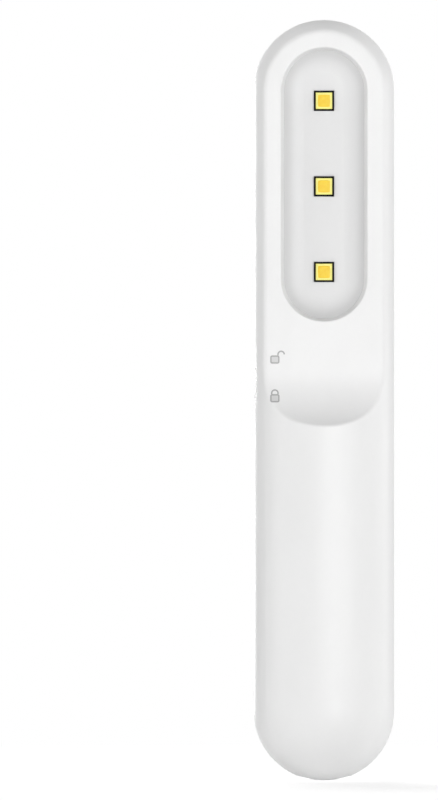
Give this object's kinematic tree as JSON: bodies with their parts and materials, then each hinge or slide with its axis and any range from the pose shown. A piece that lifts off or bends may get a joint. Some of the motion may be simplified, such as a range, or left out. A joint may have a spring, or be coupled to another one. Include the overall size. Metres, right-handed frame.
{
  "type": "handheld uv sterilizer wand",
  "caption": "Slim white oval wand with rounded ends: a flat lamp head with an oblong window and a thumb scoop, a round power button on the opposite side and a lock slider on the flank.",
  "frame": {"origin": "middle of the casing's overall box", "axes": "+Z along the wand with the lamp head up, -Y out of the power button, +Y out of the lamp window, +X towards the lock slider"},
  "size_m": [0.024, 0.0196, 0.1298],
  "materials": {
    "casing_white": "satin",
    "button_white": "satin",
    "ring_grey": "satin",
    "slider_grey": "satin",
    "light_pipe": "gloss",
    "tray_grey": "satin",
    "led_board_white": "satin",
    "led_frame_black": "matte",
    "led_window_yellow": "gloss",
    "screw_steel": "satin",
    "board_green": "satin",
    "switch_black": "matte",
    "switch_steel": "satin",
    "indicator_white": "gloss",
    "chip_black": "matte",
    "capacitor_tan": "satin",
    "port_steel": "satin",
    "cell_can": "gloss",
    "tab_nickel": "satin",
    "lead_insulation": "satin"
  },
  "bodies": {
    "casing": {"front_shell": "casing_white", "rear_shell": "casing_white", "button_ring": "ring_grey", "indicator_light_pipe": "light_pipe", "reflector_tray": "tray_grey", "led_board": "led_board_white", "uv_led_base_1": "led_frame_black", "uv_led_base_2": "led_frame_black", "uv_led_base_3": "led_frame_black", "uv_led_window_1": "led_window_yellow", "uv_led_window_2": "led_window_yellow", "uv_led_window_3": "led_window_yellow", "led_board_screw": "screw_steel", "main_board_screws": "screw_steel", "charge_board_screws": "screw_steel", "main_board": "board_green", "charge_board": "board_green", "tact_switch_case": "switch_black", "usb_port_tongue": "switch_black", "tact_switch_cover": "switch_steel", "slide_switch_case": "switch_steel", "indicator_led": "indicator_white", "driver_chip": "chip_black", "charge_chip": "chip_black", "boost_inductor": "chip_black", "capacitors": "capacitor_tan", "usb_port_shell": "port_steel", "battery_cell": "cell_can", "battery_tabs": "tab_nickel", "battery_leads": "lead_insulation", "charge_leads": "lead_insulation", "led_leads": "lead_insulation"},
    "button": {"power_button": "button_white", "tact_switch_plunger": "switch_black"},
    "lock": {"lock_slider": "slider_grey", "slide_switch_lever": "switch_black"}
  },
  "joints": [
    {"name": "button_press", "type": "slide", "parent": "casing", "child": "button", "axis": [0, 1, 0], "range_m": [0, 0.0006], "stiffness_N_per_m": 2000, "springref_m": -0.0003},
    {"name": "lock_slide", "type": "slide", "parent": "casing", "child": "lock", "axis": [0, 0, 1], "range_m": [0, 0.004]}
  ]
}
